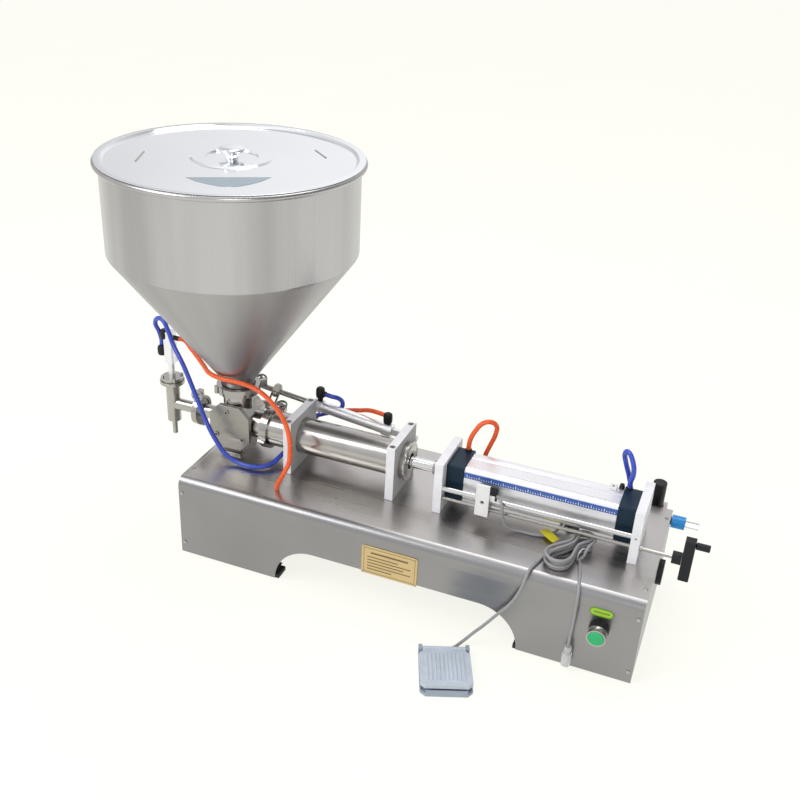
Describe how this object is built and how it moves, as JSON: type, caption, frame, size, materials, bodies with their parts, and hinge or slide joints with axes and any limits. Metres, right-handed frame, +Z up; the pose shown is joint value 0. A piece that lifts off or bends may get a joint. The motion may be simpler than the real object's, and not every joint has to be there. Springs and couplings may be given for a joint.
{
  "type": "piston paste filling machine",
  "caption": "Pneumatic piston filler for pastes: stainless cabinet, conical hopper, rotary valve, air cylinder, shut-off nozzle and foot switch",
  "frame": {"origin": "Middle of the whole object's footprint, on the floor that its rubber feet stand on", "axes": "+X from the nozzle to the crank, +Y from the front with the nameplate to the back, +Z up"},
  "size_m": [1.0182, 0.5006, 0.6784],
  "materials": {
    "brushed stainless": "brushed warm grey stainless sheet",
    "polished stainless": "polished stainless steel",
    "machined steel": "bright machined steel",
    "white painted metal": "satin near-white paint",
    "dark painted caps": "dark navy-teal enamel",
    "cylinder alloy": "drawn and anodised aluminium",
    "black plastic": "black moulded plastic",
    "black rubber": "black rubber strip",
    "seal": "pale food seal",
    "white plastic": "white moulded plastic",
    "blue hose": "blue polyurethane",
    "orange hose": "orange-red polyurethane",
    "grey cable": "pale grey plastic",
    "clear plug": "milky clear plastic",
    "green button": "green translucent plastic",
    "pedal": "light blue-grey plastic"
  },
  "bodies": {
    "machine": {"base_cabinet": "brushed stainless", "left_end_plate": "brushed stainless", "right_end_plate": "brushed stainless", "rubber_foot_1": "black rubber", "rubber_foot_2": "black rubber", "rubber_foot_3": "black rubber", "rubber_foot_4": "black rubber", "start_button_bezel": "machined steel", "inlet_valve": "blue hose", "filter_regulator": "white plastic", "cable_grommet": "black plastic", "air_valve_block": "cylinder alloy", "bracket_1_base": "white painted metal", "bracket_1_cap": "white painted metal", "bracket_2_base": "white painted metal", "bracket_2_cap": "white painted metal", "bracket_3": "white painted metal", "bracket_4": "white painted metal", "material_cylinder": "polished stainless", "cylinder_clamp": "polished stainless", "air_front_cap": "dark painted caps", "air_rear_cap": "dark painted caps", "air_barrel": "cylinder alloy", "guide_rod": "machined steel", "valve_body": "polished stainless", "valve_cover": "polished stainless", "actuator_cylinder": "cylinder alloy", "hopper": "brushed stainless", "hopper_clamp": "polished stainless", "nozzle_body": "polished stainless", "nozzle_cylinder": "cylinder alloy", "outlet_clamp": "polished stainless", "foot_switch_base": "grey cable", "hose_blue_nozzle": "blue hose", "hose_orange_nozzle": "orange hose", "hose_blue_actuator": "blue hose", "hose_orange_actuator": "orange hose", "hose_orange_barrel": "orange hose", "hose_blue_barrel": "blue hose", "sensor_cable": "grey cable", "foot_cable": "grey cable", "plug_cable": "grey cable", "cable_hank": "grey cable", "plug": "clear plug"},
    "piston": {"material_piston": "machined steel", "piston_seal": "seal", "piston_rod": "machined steel", "air_piston_rod": "machined steel"},
    "valve": {"valve_rotor": "machined steel", "valve_lever": "machined steel"},
    "actuator_rod_body": {"actuator_rod": "machined steel"},
    "plunger": {"shutoff_plunger": "machined steel"},
    "crank": {"lead_screw": "machined steel", "crank_handle": "black plastic"},
    "grip": {"crank_grip": "black plastic"},
    "carriage": {"sensor_carriage": "machined steel"},
    "button": {"start_button": "green button"},
    "pedal_body": {"foot_pedal": "pedal"},
    "lid": {"hopper_lid": "polished stainless"},
    "knob": {"side_knob": "black plastic"}
  },
  "joints": [
    {"name": "piston_stroke", "type": "slide", "parent": "machine", "child": "piston", "axis": [-1, 0, 0], "range_m": [0, 0.18]},
    {"name": "valve_turn", "type": "hinge", "parent": "machine", "child": "valve", "pos_m": [-0.30005, 0.04132, 0.203], "axis": [0, -1, 0], "range_deg": [0, 60]},
    {"name": "actuator_stroke", "type": "slide", "parent": "machine", "child": "actuator_rod_body", "axis": [-0.9934, 0, 0.1149], "range_m": [0, 0.04]},
    {"name": "plunger_lift", "type": "slide", "parent": "machine", "child": "plunger", "axis": [0, 0, 1], "range_m": [0, 0.014]},
    {"name": "crank_turn", "type": "hinge", "parent": "machine", "child": "crank", "pos_m": [0.41995, -0.00168, 0.178], "axis": [1, 0, 0], "range_deg": [-1620, 10800]},
    {"name": "grip_spin", "type": "hinge", "parent": "crank", "child": "grip", "pos_m": [0.49795, -0.00168, 0.2072], "axis": [1, 0, 0], "continuous": true},
    {"name": "carriage_shift", "type": "slide", "parent": "machine", "child": "carriage", "axis": [1, 0, 0], "range_m": [-0.0185, 0.1205], "deforming": ["sensor_cable"]},
    {"name": "button_press", "type": "slide", "parent": "machine", "child": "button", "axis": [0, 1, 0], "range_m": [0, 0.004], "stiffness_N_per_m": 400},
    {"name": "pedal_press", "type": "hinge", "parent": "machine", "child": "pedal_body", "pos_m": [0.16082, -0.15414, 0.01], "axis": [0.9272, 0.3746, 0], "range_deg": [0, 5], "stiffness_Nm_per_rad": 2},
    {"name": "lid_lift", "type": "slide", "parent": "machine", "child": "lid", "axis": [0, 0, 1], "range_m": [0, 0.15]},
    {"name": "knob_turn", "type": "hinge", "parent": "machine", "child": "knob", "pos_m": [0.44395, 0.06432, 0.098], "axis": [1, 0, 0], "range_deg": [0, 270]}
  ],
  "couplings": [
    {"joint": "actuator_stroke", "follows": "valve_turn", "m_per_rad": 0.036892},
    {"joint": "carriage_shift", "follows": "crank_turn", "m_per_rad": 0.00063662}
  ]
}
